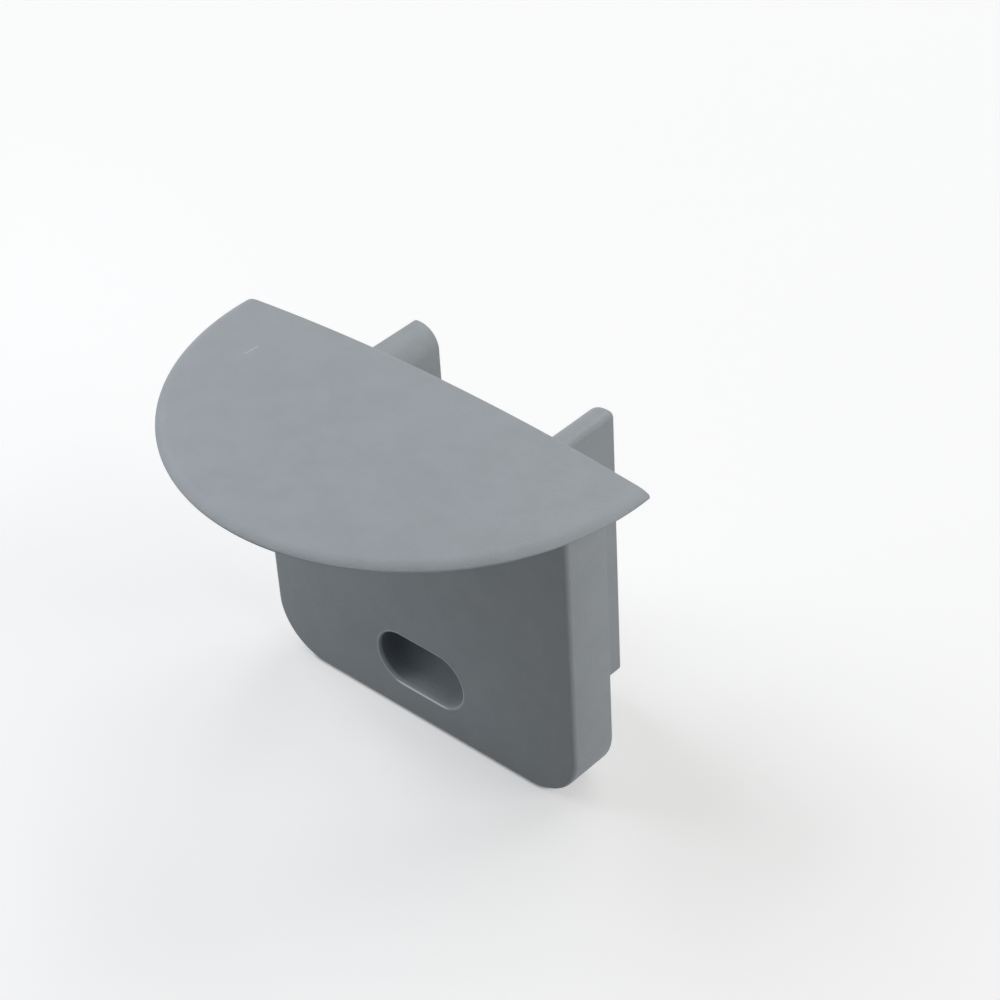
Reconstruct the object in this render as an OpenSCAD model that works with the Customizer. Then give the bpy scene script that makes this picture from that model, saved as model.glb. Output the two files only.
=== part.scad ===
// Profile end cap, moulded in one piece
// X runs across the cap, +Y points into the profile and +Z is up
// The origin is on the seat plane, level with the underside of the flange

/* [Flange] */
// Width of the flange across its two tips
flange_w = 24.7; // [21.5:0.1:36]
// Depth of the flange from the seat plane to its nose
flange_d = 12.9; // [8:0.1:20]
// Height of the flange at the top of its dome
flange_h = 0.95; // [0.8:0.05:2]
// Height that the dome would have at the outline if its rim were not round
rim_h = 0.28; // [0.2:0.01:0.5]
// Radius of the round that takes the dome down to the lip
rim_r = 1.1; // [0.5:0.05:1.5]
// Height of the flange's straight lip under that round
lip_h = 0.08; // [0.05:0.01:0.15]

/* [Plate] */
// Width of the end plate
plate_w = 19.5; // [18:0.1:21]
// Height of the end plate below the flange
plate_h = 18; // [17:0.1:30]
// Thickness of the end plate
plate_t = 2.65; // [1.2:0.05:5]
// Radius of the two lower corners of the plate
corner_r = 2.9; // [0.8:0.1:5]
// Radius of the plate's rounded front edge
edge_r = 0.25; // [0.1:0.05:0.5]

/* [Cable slot] */
// Length of the slot from end to end
slot_l = 5.5; // [4:0.1:9]
// Height of the slot, and the diameter of its round ends
slot_h = 3.05; // [1.5:0.05:4]
// Height of the slot's middle above the plate's bottom edge
slot_up = 3.3; // [3:0.1:10]
// Width of the bevel round the slot's front rim
slot_bevel = 0.08; // [0.05:0.01:0.3]

/* [Insertion legs] */
// Clear space between the two legs
leg_gap = 9.2; // [8:0.1:11]
// Thickness of a leg
leg_t = 1.6; // [1.5:0.1:3]
// Length of a leg behind the seat plane
leg_l = 4.85; // [3:0.05:15]
// Drop from the underside of the flange to the top of a leg
leg_drop = 1.0; // [0.5:0.05:3]
// Rise from the bottom edge of the plate to the foot of a leg
leg_rise = 1.6; // [1:0.1:4]
// Radius of a leg's two inner corners
leg_r = 1.15; // [0.3:0.05:1.2]
// Radius of a leg's two outer corners
leg_edge_r = 0.3; // [0.1:0.05:0.35]

/* [Hidden] */
$fn = 96;
CAP_GREY = [0.57, 0.6, 0.62];

// Circle through both tips and the nose of the flange
disc_r = (pow(flange_w / 2, 2) + pow(flange_d, 2)) / (2 * flange_d);
disc_y = disc_r - flange_d;
// Sphere whose cap is the dome
dome_rise = flange_h - rim_h;
dome_r = (pow(disc_r, 2) + pow(dome_rise, 2)) / (2 * dome_rise);
dome_z = flange_h - dome_r;
// The rim's round ends on the lip's upper edge and touches the dome on the line between their centres
lip_dir = atan2(lip_h - dome_z, disc_r);
lip_far = norm([disc_r, lip_h - dome_z]);
inner_r = dome_r - rim_r;
touch_dir = lip_dir + acos((pow(inner_r, 2) + pow(lip_far, 2) - pow(rim_r, 2)) / (2 * inner_r * lip_far));
rim_centre = [inner_r * cos(touch_dir), dome_z + inner_r * sin(touch_dir)];
rim_touch = [dome_r * cos(touch_dir), dome_z + dome_r * sin(touch_dir)];
// How far the plate runs up into the flange
ROOT = rim_h / 2;
// How far the rim's round stands above the dome, so that the two cross cleanly
PROUD = 0.001;
// How far a cutter stands out of what it cuts
OVER = 1;

// Half section of the domed disc, from its axis to its lip
module flange_section() {
    intersection() {
        translate([0, dome_z]) circle(r = dome_r, $fn = 720);
        square([rim_touch.x, flange_h + OVER]);
    }
    intersection() {
        translate(rim_centre + [0, PROUD]) circle(r = rim_r);
        translate([rim_centre.x, 0]) square([disc_r - rim_centre.x, flange_h]);
    }
}

// Domed disc, whole until the seat plane cuts it
module flange() {
    translate([0, disc_y, 0]) rotate_extrude($fn = 180) flange_section();
}

// Section of the plate out to its side face, w from the section's start, with the round front edge
// It reaches a little behind the seat plane, which cuts it later
module edge_section(w) {
    translate([w - edge_r, edge_r - plate_t]) circle(r = edge_r);
    translate([0, -plate_t]) square([w - edge_r, plate_t + OVER]);
    translate([0, edge_r - plate_t]) square([w, plate_t - edge_r + OVER]);
}

// The section stands on both sides, turns round the lower corners and runs along the bottom
module plate() {
    corner_x = plate_w / 2 - corner_r;
    corner_z = corner_r - plate_h;
    translate([0, 0, corner_z]) linear_extrude(ROOT - corner_z) {
        edge_section(plate_w / 2);
        mirror([1, 0]) edge_section(plate_w / 2);
    }
    for (side = [0, 1])
        mirror([side, 0, 0]) translate([corner_x, 0, corner_z]) rotate([-90, 0, 0])
            rotate_extrude(angle = 90) edge_section(corner_r);
    translate([-corner_x, 0, corner_z]) rotate([0, 90, 0]) linear_extrude(2 * corner_x) edge_section(corner_r);
}

// Flange and plate, cut flat together along the seat plane
module head() {
    difference() {
        union() {
            flange();
            plate();
        }
        translate([-disc_r - OVER, 0, -plate_h - OVER])
            cube([2 * (disc_r + OVER), 2 * disc_r, plate_h + flange_h + 2 * OVER]);
    }
}

// Rectangle standing on y = 0 whose two corners on the left are round
module round_cornered(w, h, r) {
    for (y = [r, h - r])
        translate([r, y]) circle(r = r);
    translate([0, r]) square([w, h - 2 * r]);
    translate([r, 0]) square([w - r, h]);
}

// Section of a leg, from its inner face at x = 0 and its foot at y = 0
module leg_section() {
    leg_h = plate_h - leg_rise - leg_drop;
    reach = 2 * leg_t;
    intersection() {
        round_cornered(reach, leg_h, leg_r);
        translate([leg_t, 0]) mirror([1, 0]) round_cornered(reach, leg_h, leg_edge_r);
    }
}

// Leg on the right side, rooted in the middle of the plate
module leg() {
    translate([leg_gap / 2, leg_l, leg_rise - plate_h]) rotate([90, 0, 0])
        linear_extrude(leg_l + plate_t / 2) leg_section();
}

// Cutter for the cable slot, flared at the plate's front by the bevel
module cable_slot() {
    r = slot_h / 2;
    span = slot_l - slot_h;
    flare = slot_bevel + OVER;
    cut = plate_t + 2 * OVER;
    translate([0, 0, slot_up - plate_h]) rotate([90, 0, 0]) {
        for (side = [-1, 1])
            translate([side * span / 2, 0, 0]) {
                translate([0, 0, -OVER]) cylinder(r = r, h = cut);
                translate([0, 0, plate_t - slot_bevel]) cylinder(r1 = r, r2 = r + flare, h = flare);
            }
        translate([-span / 2, -r, -OVER]) cube([span, slot_h, cut]);
        translate([-span / 2, 0, plate_t - slot_bevel]) rotate([90, 0, 90]) linear_extrude(span)
            polygon([[-r, 0], [r, 0], [r + flare, flare], [-r - flare, flare]]);
    }
}

module end_cap() {
    color(CAP_GREY) difference() {
        union() {
            head();
            leg();
            mirror([1, 0, 0]) leg();
        }
        cable_slot();
    }
}

end_cap();
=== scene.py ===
"""Profile end cap: the moulded cap with its small edges and satin plastic, on a pale table."""

import math
from typing import NamedTuple

import bmesh
import bpy
import numpy as np
from mathutils import Matrix, Vector


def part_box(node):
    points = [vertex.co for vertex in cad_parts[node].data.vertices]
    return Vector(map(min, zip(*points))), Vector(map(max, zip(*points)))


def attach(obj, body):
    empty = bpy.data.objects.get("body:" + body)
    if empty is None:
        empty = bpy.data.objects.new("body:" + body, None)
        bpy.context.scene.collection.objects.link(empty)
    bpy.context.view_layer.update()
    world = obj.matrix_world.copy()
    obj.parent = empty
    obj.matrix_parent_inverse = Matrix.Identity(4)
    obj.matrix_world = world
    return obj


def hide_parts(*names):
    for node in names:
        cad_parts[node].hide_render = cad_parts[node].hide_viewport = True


bl_info = {
    "name": "Profile End Cap",
    "version": (1, 0, 0),
    "blender": (4, 5, 0),
    "location": "View3D > Sidebar > End Cap",
    "description": "Moulded end cap for a recessed profile, with its plastic and a studio table",
    "category": "Add Mesh",
}

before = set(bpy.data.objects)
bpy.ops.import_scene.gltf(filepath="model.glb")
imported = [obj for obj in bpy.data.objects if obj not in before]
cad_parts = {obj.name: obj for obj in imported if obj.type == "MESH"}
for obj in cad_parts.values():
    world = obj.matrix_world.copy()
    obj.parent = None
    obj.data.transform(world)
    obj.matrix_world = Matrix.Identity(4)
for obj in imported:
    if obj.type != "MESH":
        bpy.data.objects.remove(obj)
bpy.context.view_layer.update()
LOW, HIGH = (np.array(corner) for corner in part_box("end_cap"))
MM = 0.001
# Points closer than this are made one
WELD = 0.0005 * MM
# Smallest part of a ray that a length is divided by
TINY = 1e-9


def length(name, description, default_mm):
    """A size in metres, given by its default in millimetres."""
    return bpy.props.FloatProperty(
        name=name,
        description=description,
        default=default_mm * MM,
        min=0,
        precision=5,
        unit="LENGTH",
    )


def colour(name, description, default):
    """A linear colour with no alpha."""
    return bpy.props.FloatVectorProperty(
        name=name, description=description, default=default, size=3, subtype="COLOR", min=0, max=1
    )


def share(name, description, default):
    """A plain number from 0 up."""
    return bpy.props.FloatProperty(name=name, description=description, default=default, min=0)


class CapSizes(bpy.types.PropertyGroup):
    """Sizes of the cap that the frame's box doesn't give."""

    rim_h: length("Rim height", "Height that the dome would have at the outline", 0.28)
    rim_r: length("Rim round", "Radius of the round that takes the dome down to the lip", 1.1)
    lip_h: length("Lip height", "Height of the flange's straight lip under that round", 0.08)
    lip_r: length("Lip round", "Radius of the small round on the lip's upper edge", 0.08)
    tip_r: length("Tip round", "Radius of the flange's two tips, seen from above", 0.1)
    back_r: length("Back round", "Radius along the flange's upper edge at the seat", 0.1)
    hem_r: length("Lower round", "Radius along the flange's lower edge", 0.04)
    plate_w: length("Plate width", "Width of the end plate", 19.5)
    plate_t: length("Plate thickness", "Thickness of the end plate", 2.65)
    corner_r: length("Corner radius", "Radius of the plate's two lower corners", 2.9)
    edge_r: length("Front round", "Radius of the plate's rounded front edge", 0.25)
    seat_r: length("Seat round", "Radius of the small edges on the seat plane", 0.05)
    slot_l: length("Slot length", "Length of the cable slot from end to end", 5.5)
    slot_h: length("Slot height", "Height of the cable slot", 3.05)
    slot_up: length("Slot rise", "Height of the slot's middle above the plate's foot", 3.3)
    slot_r: length("Slot rim", "Radius of the slot's front rim", 0.08)
    root_r: length("Root fillet", "Radius of the fillet between the plate and the flange above it", 0.2)
    leg_gap: length("Leg gap", "Clear space between the two legs", 9.2)
    leg_t: length("Leg thickness", "Thickness of a leg", 1.6)
    leg_drop: length("Leg drop", "Drop from the flange's underside to a leg's top", 1.0)
    leg_rise: length("Leg rise", "Rise from the plate's foot to a leg's foot", 1.6)
    leg_r: length("Leg inner round", "Radius of a leg's two inner corners", 1.15)
    leg_edge_r: length("Leg outer round", "Radius of a leg's two outer corners", 0.3)
    leg_end_r: length("Leg end round", "Radius round the free end of a leg", 0.12)
    leg_root_r: length("Leg root fillet", "Radius of the fillet where a leg leaves the plate", 0.2)


class CapFinish(bpy.types.PropertyGroup):
    """Colour and surface of the moulded plastic, with the shade and highlight painted on its slot."""

    grey: colour("Grey", "Colour of the plastic", (0.313, 0.343, 0.366))
    roughness: share("Roughness", "Roughness of the satin surface", 0.5)
    mottle: share("Mottle", "How far the grey wanders to each side", 0.03)
    mottle_size: length("Mottle size", "Size of the wandering patches", 1.4)
    grain: length("Grain depth", "Depth of the mould's fine grain", 0.02)
    grain_size: length("Grain size", "Size of the mould's fine grain", 0.13)
    scratch: colour("Scratch", "Colour of the light scratch on the flange", (0.47, 0.5, 0.525))
    scratch_w: length("Scratch width", "Width of the scratch", 0.16)
    # Painted shade: the dark colour that the slot's wall takes in place of the plastic's grey
    slot_shade_colour: colour("Slot shade", "Colour of the wall deep inside the slot", (0.088, 0.109, 0.132))
    # Painted highlight: the near-white colour of the line along the slot's front rim, and its share on
    # the upper part
    rim_highlight: colour("Worn edge", "Colour of the slot's rim where it is rubbed", (0.91, 0.93, 0.94))
    highlit: share("Rubbed rim", "How far the upper part of the rim has the worn colour", 0.3)


class StageLook(bpy.types.PropertyGroup):
    """Table and room."""

    glow: share("Glow", "Brightness that the table keeps in shadow, as the camera sees it", 0.385)
    table: share("Table", "Share of the lamps' light that the table adds to its glow", 0.68)
    bounce: share("Bounce", "Share of the light that the table gives back to the cap", 0.33)
    contact: length("Contact shadow", "How far the dark line at the cap's foot spreads", 0.16)
    fade_from: length("Fade start", "Distance from the cap at which the glow starts to rise", 150)
    fade_to: length("Fade end", "Distance from the cap at which the glow is as bright as the room", 1000)
    room: share("Room", "Brightness of the room as the camera sees it", 0.96)
    sky: share("Sky", "Strength of the even light from all round", 0.08)


class Steps(NamedTuple):
    """Steps of the quarter turn of each round."""

    hem: int = 5
    lip: int = 10
    back: int = 8
    slot: int = 6
    front: int = 8
    seat: int = 4
    root: int = 8
    leg_outer: int = 8
    leg_inner: int = 24
    leg_root: int = 8
    leg_end: int = 6


STEPS = Steps()
# Points in each ring of the flange and the plate
RAYS = 720
# Rings on the flat underside of the flange, in shares of the way out
UNDERSIDE = (0.1, 0.5)
# Rings across the rim's round, and the share of its radius that they cover
RIM_RINGS = 20
RIM_SPAN = 0.7
# Steps from there to the middle of the dome
DOME_STEPS = 24


def turn(steps):
    """Angles of a quarter turn from 0 to 90 degrees."""
    return np.linspace(0, math.pi / 2, steps + 1)


def rays_all_round():
    """Unit rays at even angles, which start half a step off the x axis, so that none runs along it."""
    turns = np.linspace(0, 2 * math.pi, RAYS, endpoint=False) + math.pi / RAYS
    return np.stack([np.cos(turns), np.sin(turns)], axis=1)


def to_right_side(rays):
    """The rays, those on the left mirrored to the right."""
    return np.stack([np.abs(rays[:, 0]), rays[:, 1]], axis=1)


def ray_to_circle(start, rays, centre, radius):
    """Far root of |start + t ray - centre| = radius, for an array of unit rays."""
    gap = start - centre
    along = (rays * gap).sum(axis=1)
    inside = along**2 - (gap * gap).sum() + radius**2
    return -along + np.sqrt(np.maximum(inside, 0))


def level_ring(plan, height):
    """Points over a plan of x and y, all at one height along z or each at its own."""
    return np.column_stack([plan, np.broadcast_to(height, len(plan))])


def upright_ring(section, depth):
    """Points of a section of x and z, all at one depth along y."""
    return np.column_stack([section[:, 0], np.full(len(section), depth), section[:, 1]])


class Flange:
    """Half disc with a domed top: a circle through both tips and the nose, cut along the seat plane.

    The disc is widest in front of the seat plane, so the frame's box gives its radius. In section its
    top is three arcs: the dome, the rim's round and the lip's round. Each touches the last from inside,
    so that their centres are as far apart as their radii differ.
    """

    def __init__(self, sizes):
        self.sizes = sizes
        self.radius = HIGH[0]
        self.centre = np.array([0, self.radius + LOW[1]])
        # The rays start halfway between the nose and the seat plane
        self.start = np.array([0, LOW[1] / 2])
        rise = HIGH[2] - sizes.rim_h
        dome_r = (self.radius**2 + rise**2) / (2 * rise)
        dome = (np.array([0, HIGH[2] - dome_r]), dome_r)
        rim = (self.rim_centre(dome), sizes.rim_r)
        lip_x = self.radius - sizes.lip_r
        lip_z = rim[0][1] + math.sqrt((sizes.rim_r - sizes.lip_r) ** 2 - (lip_x - rim[0][0]) ** 2)
        lip = (np.array([lip_x, lip_z]), sizes.lip_r)
        self.arcs = (dome, rim, lip)
        # The tip's round touches the disc's circle from inside, and the seat plane
        tip_y = -sizes.tip_r - self.centre[1]
        self.tip = np.array([math.sqrt((self.radius - sizes.tip_r) ** 2 - tip_y**2), -sizes.tip_r])

    def rim_centre(self, dome):
        """Centre of the rim's round, which touches the dome from inside and ends on the lip's edge.

        The dome's centre, the lip's edge and the round's centre are the corners of a triangle with
        three known sides, so the cosine rule gives the angle at the dome's centre.
        """
        edge = np.array([self.radius, self.sizes.lip_h]) - dome[0]
        far = np.hypot(*edge)
        inner = dome[1] - self.sizes.rim_r
        corner = math.acos((inner**2 + far**2 - self.sizes.rim_r**2) / (2 * inner * far))
        angle = math.atan2(edge[1], edge[0]) + corner
        return dome[0] + inner * np.array([math.cos(angle), math.sin(angle)])

    def domed(self, plan):
        """Height of the domed top over the plan, which depends on the distance from the disc's axis.

        On each arc it is the centre's height plus the root of r squared less the squared distance from
        the centre. The next arc takes over where it touches the last, on the line through both centres.
        """
        far = np.hypot(plan[:, 0] - self.centre[0], plan[:, 1] - self.centre[1])
        height = np.zeros(len(far))
        begin = -1.0
        for index, (centre, radius) in enumerate(self.arcs):
            if index > 0:
                outer, outer_r = self.arcs[index - 1]
                begin = outer[0] + (centre[0] - outer[0]) * outer_r / (outer_r - radius)
            arc = centre[1] + np.sqrt(np.maximum(radius**2 - (far - centre[0]) ** 2, 0))
            height = np.where(far >= begin, arc, height)
        return height

    def outline(self, rays, inset):
        """Points where the rays meet the plan's edge, drawn in by inset.

        A ray ends on the disc's circle or on the straight back edge, whichever is nearer, and within
        the angle of a tip on the tip's round.
        """
        folded = to_right_side(rays)
        to_arc = ray_to_circle(self.start, folded, self.centre, self.radius - inset)
        up = np.maximum(folded[:, 1], TINY)
        to_back = np.where(folded[:, 1] > 0, (-inset - self.start[1]) / up, np.inf)
        reach = np.minimum(to_arc, to_back)
        round_left = self.sizes.tip_r - inset
        if round_left > 0:
            # The tip's round runs from the disc's circle to the back edge
            out = (self.tip - self.centre) / np.linalg.norm(self.tip - self.centre)
            last = self.tip + out * round_left - self.start
            first = self.tip + np.array([0, round_left]) - self.start
            angle = np.arctan2(folded[:, 1], folded[:, 0])
            in_tip = (angle > math.atan2(last[1], last[0])) & (angle < math.atan2(first[1], first[0]))
            to_tip = ray_to_circle(self.start, folded, self.tip, round_left)
            reach = np.where(in_tip, to_tip, reach)
        return self.start + rays * reach[:, None]

    def top(self, plan):
        """Height of the top over the plan: the domed top, less the round of the back edge.

        Within r of the seat plane the top drops by r less the root of r squared less the square of the
        distance into the round. Where the flange is thin, r is half of what stands over the lower edge.
        """
        height = self.domed(plan)
        edge = np.minimum(self.sizes.back_r, (height - self.sizes.hem_r) / 2)
        short = np.clip(edge + plan[:, 1], 0, edge)
        return height - edge + np.sqrt(edge**2 - short**2)

    def rings(self, rays):
        """Rings from the middle of the underside out to the lip, round it and back over the top.

        On the lower edge a ring is drawn in by r (1 - cos angle) at the height r (1 - sin angle). The
        rings of the top are drawn in more and more and lie at the top's height, close together at the
        rounds and in even steps over the dome.
        """
        sizes = self.sizes
        foot = self.outline(rays, sizes.hem_r)
        found = [level_ring(self.start + (foot - self.start) * part, 0) for part in UNDERSIDE]
        for angle in turn(STEPS.hem)[::-1]:
            plan = self.outline(rays, sizes.hem_r * (1 - math.cos(angle)))
            found.append(level_ring(plan, sizes.hem_r * (1 - math.sin(angle))))
        steep = sizes.lip_r * (1 - np.cos(turn(STEPS.lip)))
        wide = np.linspace(sizes.lip_r, sizes.rim_r * RIM_SPAN, RIM_RINGS)
        back = sizes.back_r * (1 - np.cos(turn(STEPS.back)))
        for inset in np.unique(np.concatenate([steep, wide, back])):
            plan = self.outline(rays, inset)
            found.append(level_ring(plan, self.top(plan)))
        rim = plan
        for part in np.linspace(1, 0, DOME_STEPS + 1)[1:-1]:
            plan = self.start + (rim - self.start) * part
            found.append(level_ring(plan, self.top(plan)))
        return np.array(found)


class Plate:
    """Upright slab with two round lower corners and an obround slot through it.

    It ends inside the flange, so that the two skins cross.
    """

    def __init__(self, sizes):
        self.sizes = sizes
        # The rays start in the slot's middle
        self.start = np.array([0, LOW[2] + sizes.slot_up])
        self.top = sizes.rim_h / 2

    def outline(self, rays, inset):
        """Points where the rays meet the slab's edge, drawn in by inset.

        A ray ends on a side or on the level top or foot, whichever is nearer, and in a lower corner on
        the corner's circle.
        """
        half = self.sizes.plate_w / 2 - inset
        low = LOW[2] + inset
        radius = self.sizes.corner_r - inset
        across = np.maximum(np.abs(rays[:, 0]), TINY)
        up = np.where(np.abs(rays[:, 1]) < TINY, TINY, rays[:, 1])
        to_level = np.where(up > 0, (self.top - self.start[1]) / up, (low - self.start[1]) / up)
        reach = np.minimum(half / across, to_level)
        hit = self.start + rays * reach[:, None]
        in_corner = (np.abs(hit[:, 0]) > half - radius) & (hit[:, 1] < low + radius)
        corner = np.array([half - radius, low + radius])
        to_round = ray_to_circle(self.start, to_right_side(rays), corner, radius)
        reach = np.where(in_corner, to_round, reach)
        return self.start + rays * reach[:, None]

    def slot(self, rays, grow):
        """Points where the rays meet the slot, let out by grow: two half circles and two straights."""
        radius = self.sizes.slot_h / 2 + grow
        span = (self.sizes.slot_l - self.sizes.slot_h) / 2
        to_flat = radius / np.maximum(np.abs(rays[:, 1]), TINY)
        folded = np.abs(rays)
        to_end = ray_to_circle(np.zeros(2), folded, np.array([span, 0]), radius)
        reach = np.where(folded[:, 0] * to_flat < span, to_flat, to_end)
        return self.start + rays * reach[:, None]

    def rings(self, rays):
        """Rings over the slot's rim, the front edge, the seat edge and the slot's edge at the seat.

        Round each of the four edges of radius r the outline moves by r (1 - cos angle) and the depth by
        r (1 - sin angle), or the other way round.
        """
        sizes = self.sizes
        front = -sizes.plate_t
        found = []
        for angle in turn(STEPS.slot):
            grow = sizes.slot_r * (1 - math.cos(angle))
            depth = front + sizes.slot_r * (1 - math.sin(angle))
            found.append(upright_ring(self.slot(rays, grow), depth))
        for angle in turn(STEPS.front):
            inset = sizes.edge_r * (1 - math.sin(angle))
            depth = front + sizes.edge_r * (1 - math.cos(angle))
            found.append(upright_ring(self.outline(rays, inset), depth))
        for angle in turn(STEPS.seat):
            inset = sizes.seat_r * (1 - math.cos(angle))
            found.append(upright_ring(self.outline(rays, inset), -sizes.seat_r * (1 - math.sin(angle))))
        for angle in turn(STEPS.seat):
            grow = sizes.seat_r * (1 - math.sin(angle))
            found.append(upright_ring(self.slot(rays, grow), -sizes.seat_r * (1 - math.cos(angle))))
        return np.array(found)


class Root:
    """Hollow fillet where the plate meets the underside of the flange, on its front and both sides."""

    def __init__(self, sizes):
        self.sizes = sizes

    def section(self, grow):
        """Outline of the plate seen from above, let out by grow.

        Two quarter circles make the front corners, and the back is straight.
        """
        half = self.sizes.plate_w / 2 + grow
        front = -self.sizes.plate_t - grow
        radius = self.sizes.edge_r + grow
        angle = turn(STEPS.front)
        left_x = radius - half - radius * np.cos(angle)
        left_y = front + radius - radius * np.sin(angle)
        left = np.stack([left_x, left_y], axis=1)
        right = left[::-1] * (-1, 1)
        back = np.array([[half, -self.sizes.seat_r], [-half, -self.sizes.seat_r]])
        return np.concatenate([left, right, back])

    def rings(self):
        """Rings up a quarter hollow, let out by r (1 - sin angle) at the height r (cos angle - 1).

        The last ring stands inside the flange, so that the two skins cross.
        """
        radius = self.sizes.root_r
        inside = self.sizes.rim_h / 4
        found = []
        for angle in turn(STEPS.root)[::-1]:
            plan = self.section(radius * (1 - math.sin(angle)))
            found.append(level_ring(plan, radius * (math.cos(angle) - 1)))
        found.append(level_ring(self.section(radius), inside))
        return np.array(found)


class Leg:
    """Slab behind the plate with two wide inner rounds, two small outer rounds and a round free end."""

    def __init__(self, sizes, side):
        self.sizes = sizes
        self.side = side

    def section(self, inset):
        """Outline of the right leg, drawn in by inset: a quarter circle about each corner's centre."""
        sizes = self.sizes
        inner = sizes.leg_gap / 2
        outer = inner + sizes.leg_t
        low = LOW[2] + sizes.leg_rise
        high = -sizes.leg_drop
        corners = [
            (outer, high, sizes.leg_edge_r, 0, STEPS.leg_outer),
            (inner, high, sizes.leg_r, 90, STEPS.leg_inner),
            (inner, low, sizes.leg_r, 180, STEPS.leg_inner),
            (outer, low, sizes.leg_edge_r, 270, STEPS.leg_outer),
        ]
        found = []
        for x, z, radius, first, steps in corners:
            angle = math.radians(first) + turn(steps)
            centre_x = x - radius if x == outer else x + radius
            centre_z = z - radius if z == high else z + radius
            along_x = centre_x + (radius - inset) * np.cos(angle)
            along_z = centre_z + (radius - inset) * np.sin(angle)
            found.append(np.stack([along_x, along_z], axis=1))
        return np.concatenate(found)

    def rings(self):
        """Rings from inside the plate out over the root fillet and along to the rounded end.

        On the fillet of radius r the section is let out by r (1 - sin angle), r (1 - cos angle) behind
        the seat plane. On the end it is drawn in by r (1 - cos angle), r (1 - sin angle) before the end.
        """
        sizes = self.sizes
        root, end = sizes.leg_root_r, sizes.leg_end_r
        inside = -sizes.plate_t / 4
        stations = [(-root, inside)]
        for angle in turn(STEPS.leg_root):
            stations.append((-root * (1 - math.sin(angle)), root * (1 - math.cos(angle))))
        for angle in turn(STEPS.leg_end):
            stations.append((end * (1 - math.cos(angle)), HIGH[1] - end * (1 - math.sin(angle))))
        return np.array([upright_ring(self.section(inset) * (self.side, 1), y) for inset, y in stations])


def skin(rings, closed):
    """Quads between neighbouring rings.

    If closed, the last ring meets the first. Otherwise a fan about its middle closes each end ring.
    """
    count, points = rings.shape[:2]
    index = np.arange(count * points).reshape(count, points)
    this = index if closed else index[:-1]
    other = np.roll(index, -1, axis=0) if closed else index[1:]
    quads = np.stack([this, np.roll(this, -1, 1), np.roll(other, -1, 1), other], axis=-1).reshape(-1, 4)
    vertices = rings.reshape(-1, 3)
    if closed:
        return vertices, quads.tolist()
    ends = np.array([rings[0].mean(axis=0), rings[-1].mean(axis=0)])
    first = np.stack([np.roll(index[0], -1), index[0], np.full(points, len(vertices))], axis=-1)
    last = np.stack([index[-1], np.roll(index[-1], -1), np.full(points, len(vertices) + 1)], axis=-1)
    return np.concatenate([vertices, ends]), [*quads.tolist(), *first.tolist(), *last.tolist()]


def new_piece(name, vertices, faces):
    """A mesh object at the origin, its faces turned outwards."""
    mesh = bpy.data.meshes.new(name)
    mesh.from_pydata(vertices, [], faces)
    work = bmesh.new()
    work.from_mesh(mesh)
    bmesh.ops.recalc_face_normals(work, faces=work.faces)
    work.to_mesh(mesh)
    work.free()
    piece = bpy.data.objects.new(name, mesh)
    bpy.context.scene.collection.objects.link(piece)
    return piece


def unite(piece, others):
    """Joins the others into piece as one closed skin and removes them."""
    for other in others:
        joint = piece.modifiers.new("Join", "BOOLEAN")
        joint.operation = "UNION"
        joint.solver = "EXACT"
        joint.object = other
    graph = bpy.context.evaluated_depsgraph_get()
    mesh = bpy.data.meshes.new_from_object(piece.evaluated_get(graph))
    piece.modifiers.clear()
    piece.data = mesh
    work = bmesh.new()
    work.from_mesh(mesh)
    bmesh.ops.remove_doubles(work, verts=work.verts, dist=WELD)
    bmesh.ops.dissolve_degenerate(work, dist=WELD, edges=work.edges)
    work.to_mesh(mesh)
    work.free()
    for other in others:
        bpy.data.objects.remove(other)


class Wiring:
    """Short ways to add and link the nodes of one material."""

    def __init__(self, tree):
        self.tree = tree

    def add(self, kind, feeds=(), **settings):
        """A node of a kind; feeds are its inputs in pairs of name or number, and a socket or a value."""
        node = self.tree.nodes.new(kind)
        for name, value in settings.items():
            setattr(node, name, value)
        for key, value in feeds:
            if isinstance(value, bpy.types.NodeSocket):
                self.tree.links.new(value, node.inputs[key])
            else:
                node.inputs[key].default_value = value
        return node

    def maths(self, operation, *values):
        """One number from a Math node."""
        return self.add("ShaderNodeMath", enumerate(values), operation=operation).outputs[0]

    def vector(self, operation, *values):
        """A Vector Math node."""
        return self.add("ShaderNodeVectorMath", enumerate(values), operation=operation)

    def scale(self, vector, factor):
        """A vector or colour times a number."""
        feeds = ((0, vector), ("Scale", factor))
        return self.add("ShaderNodeVectorMath", feeds, operation="SCALE").outputs[0]

    def mix(self, mask, under, over):
        """The colour under a mask, and the flat colour over it where the mask is 1.

        The node's inputs 6 and 7 and its output 2 are the ones for colours.
        """
        feeds = ((0, mask), (6, under), (7, (*over, 1)))
        return self.add("ShaderNodeMix", feeds, data_type="RGBA").outputs[2]

    def noise(self, place, size, detail):
        """Noise from 0 to 1 whose patches have a size."""
        feeds = (("Vector", place), ("Scale", 1 / size), ("Detail", detail))
        return self.add("ShaderNodeTexNoise", feeds).outputs["Fac"]

    def ramp(self, value, low, high, first, last):
        """A number that goes smoothly from first to last as value goes from low to high."""
        span = (("From Min", low), ("From Max", high), ("To Min", first), ("To Max", last))
        feeds = (("Value", value), *span)
        node = self.add("ShaderNodeMapRange", feeds, interpolation_type="SMOOTHSTEP")
        return node.outputs[0]

    def from_segment(self, place, start, end):
        """Distance of a place from the straight segment between two points.

        The place is dropped on the line, kept between the two ends, and the distance to it is taken.
        """
        start, end = Vector(start), Vector(end)
        along = (end - start).normalized()
        gap = self.vector("SUBTRACT", place, start).outputs[0]
        run = self.vector("DOT_PRODUCT", gap, along).outputs["Value"]
        kept = self.maths("MINIMUM", self.maths("MAXIMUM", run, 0), (end - start).length)
        return self.vector("DISTANCE", gap, self.scale(along, kept)).outputs["Value"]


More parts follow.
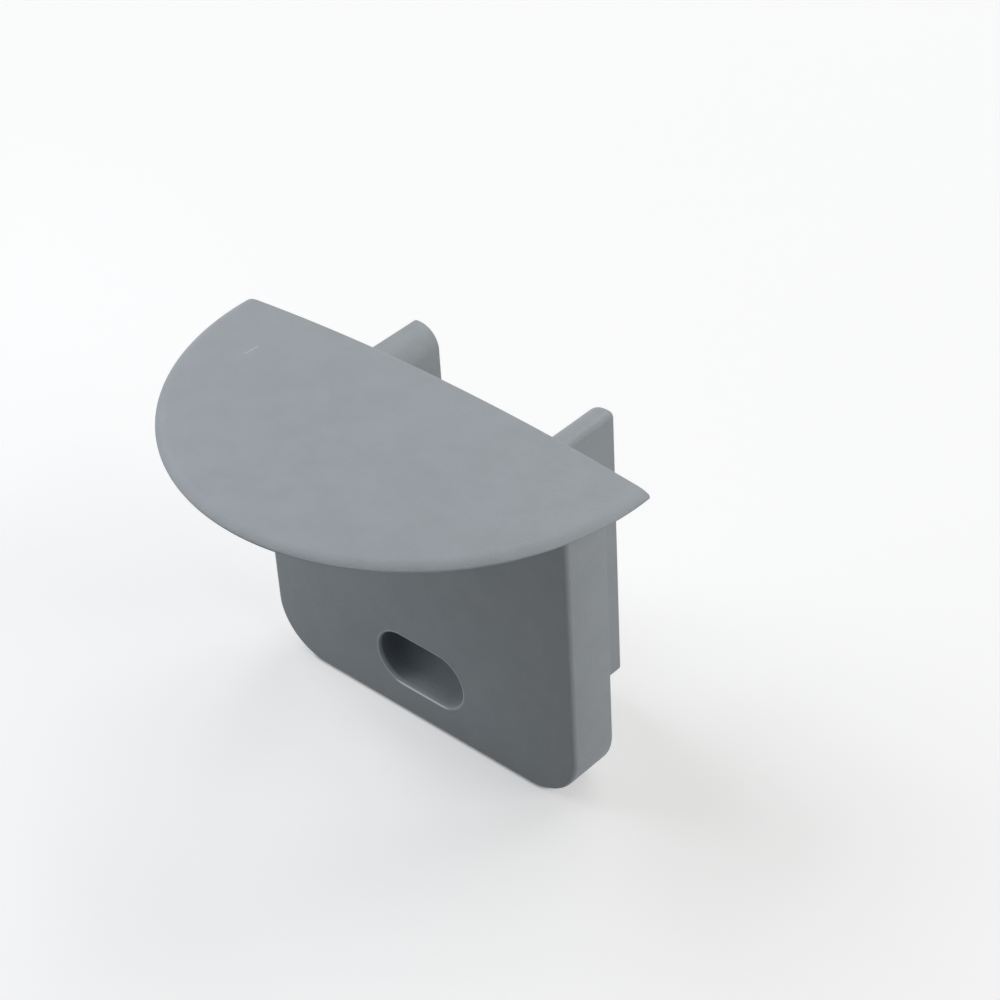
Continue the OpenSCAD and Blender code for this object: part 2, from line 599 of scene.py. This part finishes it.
# Detail of the noise for the mottling and for the grain, and the levels that the mottling spreads over
MOTTLE_DETAIL = 6.0
MOTTLE_LEVELS = (0.3, 0.7)
GRAIN_DETAIL = 2.0

# Ends of the scratch, seen from above
SCRATCH = ((-8.59 * MM, -3.72 * MM), (-8.54 * MM, -3.04 * MM))
# Distances from its middle line at which it starts to fade and is gone, in shares of its width
SCRATCH_FADE = (0.2, 0.6)
# Size of its faint spots, the noise levels from faint to full, and how faint it gets
SPOT_SIZE = 0.22 * MM
SPOT_DETAIL = 1.0
SPOT_LEVELS = (0.4, 0.65)
SPOT_FAINT = 0.45


def scratch_mask(wiring, place, finish, flange):
    """1 on the scratch, which runs over the dome between its two ends, and 0 off it."""
    plan = np.array(SCRATCH)
    ends = level_ring(plan, flange.domed(plan))
    far = wiring.from_segment(place, ends[0], ends[1])
    fade = [finish.scratch_w * part for part in SCRATCH_FADE]
    line = wiring.ramp(far, *fade, 1.0, 0.0)
    spots = wiring.ramp(wiring.noise(place, SPOT_SIZE, SPOT_DETAIL), *SPOT_LEVELS, SPOT_FAINT, 1.0)
    return wiring.maths("MULTIPLY", line, spots)


class SlotSpace:
    """Sizes of the slot, and where a point lies from it.

    The distance is that from the slot's middle line, and the same at every depth.
    """

    def __init__(self, wiring, place, sizes):
        self.middle = LOW[2] + sizes.slot_up
        self.span = (sizes.slot_l - sizes.slot_h) / 2
        self.radius = sizes.slot_h / 2
        self.front = -sizes.plate_t
        self.rim = sizes.slot_r
        self.seat = sizes.seat_r
        separate = wiring.add("ShaderNodeSeparateXYZ", ((0, place),))
        self.across, self.depth, self.height = separate.outputs
        flat = wiring.vector("MULTIPLY", place, (1, 0, 1)).outputs[0]
        self.far = wiring.from_segment(flat, (-self.span, 0, self.middle), (self.span, 0, self.middle))


# Painted shade on the slot's wall: the shares below set how much light its colour keeps
# Light on the slot's wall from half the plate's thickness on, and where it starts to fall, in plate
# thicknesses before the seat plane
DEEP_LIGHT = 0.37
DEEP_FROM = 1.25
# Light at the slot's left end. It starts to rise at this share of the slot's half length left of the
# middle, and is full at this share of the half span between the centres of its two ends
LEFT_LIGHT = 0.1
LEFT_FROM = 0.95
LEFT_TO = 0.25
# Distances outside the slot's wall between which the shade fades away, in radii of the slot's rim
WALL_FADE = (0.3, 1.0)
# Distances behind the plate's front between which the shade begins, in radii of the slot's rim
SHADE_BEGIN = (1, 4)
# Distance before the seat plane at which the shade starts to end, in radii of the slot's rim
SHADE_END = 3


def painted_slot_shade(wiring, slot):
    """Painted shade on the slot's wall: 1 less its painted light, inside the slot, and 0 everywhere
    else.

    The painted light is a product of two ramps: it falls with the depth, and it rises from the left end.
    """
    wall_from, wall_to = (slot.radius + slot.rim * part for part in WALL_FADE)
    wall = wiring.ramp(slot.far, wall_from, wall_to, 1.0, 0.0)
    near_front = wiring.ramp(slot.depth, slot.front * DEEP_FROM, slot.front / 2, 1.0, DEEP_LIGHT)
    left = -LEFT_FROM * (slot.span + slot.radius)
    near_right = wiring.ramp(slot.across, left, -LEFT_TO * slot.span, LEFT_LIGHT, 1.0)
    shade = wiring.maths("SUBTRACT", 1.0, wiring.maths("MULTIPLY", near_front, near_right))
    begin_from, begin_to = (slot.front + part * slot.rim for part in SHADE_BEGIN)
    begun = wiring.ramp(slot.depth, begin_from, begin_to, 0.0, 1.0)
    ended = wiring.ramp(slot.depth, -SHADE_END * slot.rim, -slot.seat, 1.0, 0.0)
    inside = wiring.maths("MULTIPLY", wall, wiring.maths("MULTIPLY", begun, ended))
    return wiring.maths("MULTIPLY", inside, shade)


# Middle of the painted highlight outside the slot's wall, and its fade to each side, in radii of the
# slot's rim
RIM_HIGHLIGHT_MIDDLE = 0.8
RIM_HIGHLIGHT_FADE = (0.4, 0.9)
# Drops below the slot's middle between which the painted highlight goes from full to its upper share, in
# slot radii
RIM_HIGHLIGHT_LOW = (1.02, 0.985)


def painted_rim_highlight(wiring, slot, finish):
    """Painted highlight on the slot's front rim: 1 along its foot, the upper share above, and 0 off the
    rim.
    """
    off_rim = wiring.maths("SUBTRACT", slot.far, slot.radius + slot.rim * RIM_HIGHLIGHT_MIDDLE)
    fade = [slot.rim * part for part in RIM_HIGHLIGHT_FADE]
    line = wiring.ramp(wiring.maths("ABSOLUTE", off_rim), *fade, 1.0, 0.0)
    in_front = wiring.ramp(slot.depth, slot.front, slot.front + slot.rim, 1.0, 0.0)
    low_from, low_to = (slot.middle - slot.radius * part for part in RIM_HIGHLIGHT_LOW)
    low = wiring.ramp(slot.height, low_from, low_to, 1.0, finish.highlit)
    return wiring.maths("MULTIPLY", wiring.maths("MULTIPLY", line, in_front), low)


def grey_plastic(finish, sizes):
    """Satin grey plastic as it leaves the mould, with fine grain and faint mottling.

    It has one light scratch, painted shade on the slot's wall and a painted highlight along the slot's
    rim.
    """
    material = bpy.data.materials.new("grey_plastic")
    material.use_nodes = True
    wiring = Wiring(material.node_tree)
    shader = material.node_tree.nodes["Principled BSDF"]
    place = wiring.add("ShaderNodeTexCoord").outputs["Object"]
    patches = wiring.noise(place, finish.mottle_size, MOTTLE_DETAIL)
    wander = wiring.ramp(patches, *MOTTLE_LEVELS, 1 - finish.mottle, 1 + finish.mottle)
    slot = SlotSpace(wiring, place, sizes)
    # Painted shade on the slot's wall, which also makes the wall rougher
    dark = painted_slot_shade(wiring, slot)
    # Painted highlight along the slot's front rim, full along its foot
    rim_highlight = painted_rim_highlight(wiring, slot, finish)
    shaded_tone = wiring.mix(dark, wiring.scale(tuple(finish.grey), wander), finish.slot_shade_colour)
    scratch = scratch_mask(wiring, place, finish, Flange(sizes))
    scratched = wiring.mix(scratch, shaded_tone, finish.scratch)
    wiring.tree.links.new(wiring.mix(rim_highlight, scratched, finish.rim_highlight), shader.inputs["Base Color"])
    rough = wiring.ramp(dark, 0.0, 1.0, finish.roughness, 1.0)
    wiring.tree.links.new(rough, shader.inputs["Roughness"])
    grain = wiring.noise(place, finish.grain_size, GRAIN_DETAIL)
    relief = wiring.maths("ADD", grain, scratch)
    bump = wiring.add("ShaderNodeBump", (("Height", relief), ("Distance", finish.grain)))
    wiring.tree.links.new(bump.outputs[0], shader.inputs["Normal"])
    return material


# Edges that turn by more than this stay sharp in the shading
SHARP_FROM = math.radians(35)


class CAP_OT_mould(bpy.types.Operator):
    """Makes the moulded cap with all its small edges"""

    bl_idname = "end_cap.mould"
    bl_label = "Mould the cap"

    def execute(self, context):
        sizes = context.scene.cap_sizes
        rays = rays_all_round()
        cap = new_piece("moulded_cap", *skin(Flange(sizes).rings(rays), closed=False))
        plate = new_piece("plate_skin", *skin(Plate(sizes).rings(rays), closed=True))
        parts = [plate, new_piece("root_skin", *skin(Root(sizes).rings(), closed=False))]
        for side in (-1, 1):
            parts.append(new_piece("leg_skin", *skin(Leg(sizes, side).rings(), closed=False)))
        unite(cap, parts)
        cap.data.materials.clear()
        cap.data.materials.append(grey_plastic(context.scene.cap_finish, sizes))
        cap.data.polygons.foreach_set("use_smooth", np.ones(len(cap.data.polygons), dtype=bool))
        cap.data.set_sharp_from_angle(angle=SHARP_FROM)
        weighting = cap.modifiers.new("Even shading", "WEIGHTED_NORMAL")
        weighting.keep_sharp = True
        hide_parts("end_cap")
        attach(cap, "root")
        return {"FINISHED"}


def seen_rays(wiring):
    """1 for camera, gloss and glass rays, and 0 for the rays that light the cap."""
    rays = wiring.add("ShaderNodeLightPath").outputs
    either = wiring.maths("MAXIMUM", rays["Is Camera Ray"], rays["Is Glossy Ray"])
    return wiring.maths("MAXIMUM", either, rays["Is Transmission Ray"])


def even(value):
    """A grey that is the same in all three channels, with full alpha."""
    return (value, value, value, 1)


def table_material(look):
    """Pale table: its glow keeps the shadows light, and it gives only a little light back to the cap.

    The glow rises away from the cap, where the lamps no longer reach, until it is that of the room.
    """
    material = bpy.data.materials.new("pale_table")
    material.use_nodes = True
    wiring = Wiring(material.node_tree)
    wiring.tree.nodes.clear()
    open_sky = wiring.add("ShaderNodeAmbientOcclusion", (("Distance", look.contact),)).outputs["AO"]
    place = wiring.add("ShaderNodeTexCoord").outputs["Object"]
    far = wiring.vector("LENGTH", place).outputs["Value"]
    glow_there = wiring.ramp(far, look.fade_from, look.fade_to, look.glow, look.room)
    strength = wiring.maths("MULTIPLY", open_sky, glow_there)
    glow = wiring.add("ShaderNodeEmission", (("Color", even(1)), ("Strength", strength)))
    lit = wiring.add("ShaderNodeBsdfDiffuse", (("Color", even(look.table)),))
    seen = wiring.add("ShaderNodeAddShader", ((0, glow.outputs[0]), (1, lit.outputs[0])))
    dull = wiring.add("ShaderNodeBsdfDiffuse", (("Color", even(look.bounce)),))
    feeds = ((0, seen_rays(wiring)), (1, dull.outputs[0]), (2, seen.outputs[0]))
    mix = wiring.add("ShaderNodeMixShader", feeds)
    wiring.add("ShaderNodeOutputMaterial", ((0, mix.outputs[0]),))
    return material


def room_world(look):
    """White room round the table, and a weak even light for the cap."""
    world = bpy.data.worlds.new("room")
    world.use_nodes = True
    wiring = Wiring(world.node_tree)
    wiring.tree.nodes.clear()
    dim = wiring.add("ShaderNodeBackground", (("Color", even(1)), ("Strength", look.sky)))
    white = wiring.add("ShaderNodeBackground", (("Color", even(1)), ("Strength", look.room)))
    feeds = ((0, seen_rays(wiring)), (1, dim.outputs[0]), (2, white.outputs[0]))
    mix = wiring.add("ShaderNodeMixShader", feeds)
    wiring.add("ShaderNodeOutputWorld", ((0, mix.outputs[0]),))
    return world


# Half the width of the table, in metres
TABLE_REACH = 3.0


class CAP_OT_stage(bpy.types.Operator):
    """Lays the pale table and sets the white room round it"""

    bl_idname = "end_cap.stage"
    bl_label = "Lay the table"

    def execute(self, context):
        look = context.scene.cap_stage
        near, far = -TABLE_REACH, TABLE_REACH
        corners = ((near, near), (far, near), (far, far), (near, far))
        mesh = bpy.data.meshes.new("table")
        mesh.from_pydata([(x, y, LOW[2]) for x, y in corners], [], [(0, 1, 2, 3)])
        table = bpy.data.objects.new("table", mesh)
        context.scene.collection.objects.link(table)
        mesh.materials.append(table_material(look))
        context.scene.world = room_world(look)
        return {"FINISHED"}


class Softbox(NamedTuple):
    """A square lamp that looks at the origin: its place and side in metres, and its power in watts."""

    name: str
    place: Vector
    side: float
    power: float
    tint: tuple


COOL = (0.96, 1.0, 1.04)
WARM = (1.02, 1.0, 0.98)
LAMPS = (
    Softbox("left_box", Vector((-0.42, -0.084, 0.42)), 0.5, 2.03, COOL),
    Softbox("right_box", Vector((0.528, 0.106, 0.264)), 0.5, 1.93, WARM),
    Softbox("back_box", Vector((0, 0.424, 0.424)), 0.5, 1.25, WARM),
    Softbox("front_fill", Vector((-0.06, -0.04, 0.01)), 0.04, 0.0075, COOL),
)


class CAP_OT_lights(bpy.types.Operator):
    """Hangs the soft studio lamps"""

    bl_idname = "end_cap.lights"
    bl_label = "Hang the lamps"

    def execute(self, context):
        for box in LAMPS:
            data = bpy.data.lights.new(box.name, "AREA")
            data.shape = "SQUARE"
            data.size = box.side
            data.energy = box.power
            data.color = box.tint
            lamp = bpy.data.objects.new(box.name, data)
            facing = box.place.to_track_quat("Z", "Y").to_matrix().to_4x4()
            lamp.matrix_world = Matrix.Translation(box.place) @ facing
            lamp.visible_camera = False
            context.scene.collection.objects.link(lamp)
        return {"FINISHED"}


CAMERA_AT = Vector((71.17, -70.01, 70.54)) * MM
CAMERA_AIM = Vector((3.87, -0.46, -3.91)) * MM
CAMERA_ROLL = math.radians(3.485)
# Focal length and width of the sensor, in millimetres
CAMERA_LENS = 97.74
SENSOR = 36.0


class CAP_OT_camera(bpy.types.Operator):
    """Sets the camera at the height and angle of the reference view"""

    bl_idname = "end_cap.camera"
    bl_label = "Set the camera"

    def execute(self, context):
        data = bpy.data.cameras.new("camera")
        data.lens = CAMERA_LENS
        data.sensor_width = SENSOR
        data.clip_start = MM
        camera = bpy.data.objects.new("camera", data)
        ahead = (CAMERA_AIM - CAMERA_AT).normalized()
        level = ahead.cross(Vector((0, 0, 1))).normalized()
        upright = level.cross(ahead)
        right = level * math.cos(CAMERA_ROLL) - upright * math.sin(CAMERA_ROLL)
        up = level * math.sin(CAMERA_ROLL) + upright * math.cos(CAMERA_ROLL)
        turned = Matrix((right, up, -ahead)).transposed().to_4x4()
        camera.matrix_world = Matrix.Translation(CAMERA_AT) @ turned
        context.scene.collection.objects.link(camera)
        context.scene.camera = camera
        context.scene.view_settings.view_transform = "Standard"
        return {"FINISHED"}


OPERATORS = (CAP_OT_mould, CAP_OT_stage, CAP_OT_lights, CAP_OT_camera)


class CAP_PT_tools(bpy.types.Panel):
    """Lists the steps that make the cap and its studio"""

    bl_label = "End Cap"
    bl_idname = "CAP_PT_tools"
    bl_space_type = "VIEW_3D"
    bl_region_type = "UI"
    bl_category = "End Cap"

    def draw(self, context):
        for operator in OPERATORS:
            self.layout.operator(operator.bl_idname)


CLASSES = (CapSizes, CapFinish, StageLook, *OPERATORS, CAP_PT_tools)


def register():
    for kind in CLASSES:
        bpy.utils.register_class(kind)
    bpy.types.Scene.cap_sizes = bpy.props.PointerProperty(type=CapSizes)
    bpy.types.Scene.cap_finish = bpy.props.PointerProperty(type=CapFinish)
    bpy.types.Scene.cap_stage = bpy.props.PointerProperty(type=StageLook)


def unregister():
    del bpy.types.Scene.cap_stage
    del bpy.types.Scene.cap_finish
    del bpy.types.Scene.cap_sizes
    for kind in reversed(CLASSES):
        bpy.utils.unregister_class(kind)


def main():
    register()
    bpy.ops.end_cap.mould()
    bpy.ops.end_cap.stage()
    bpy.ops.end_cap.lights()
    bpy.ops.end_cap.camera()


if __name__ == "__main__":
    main()
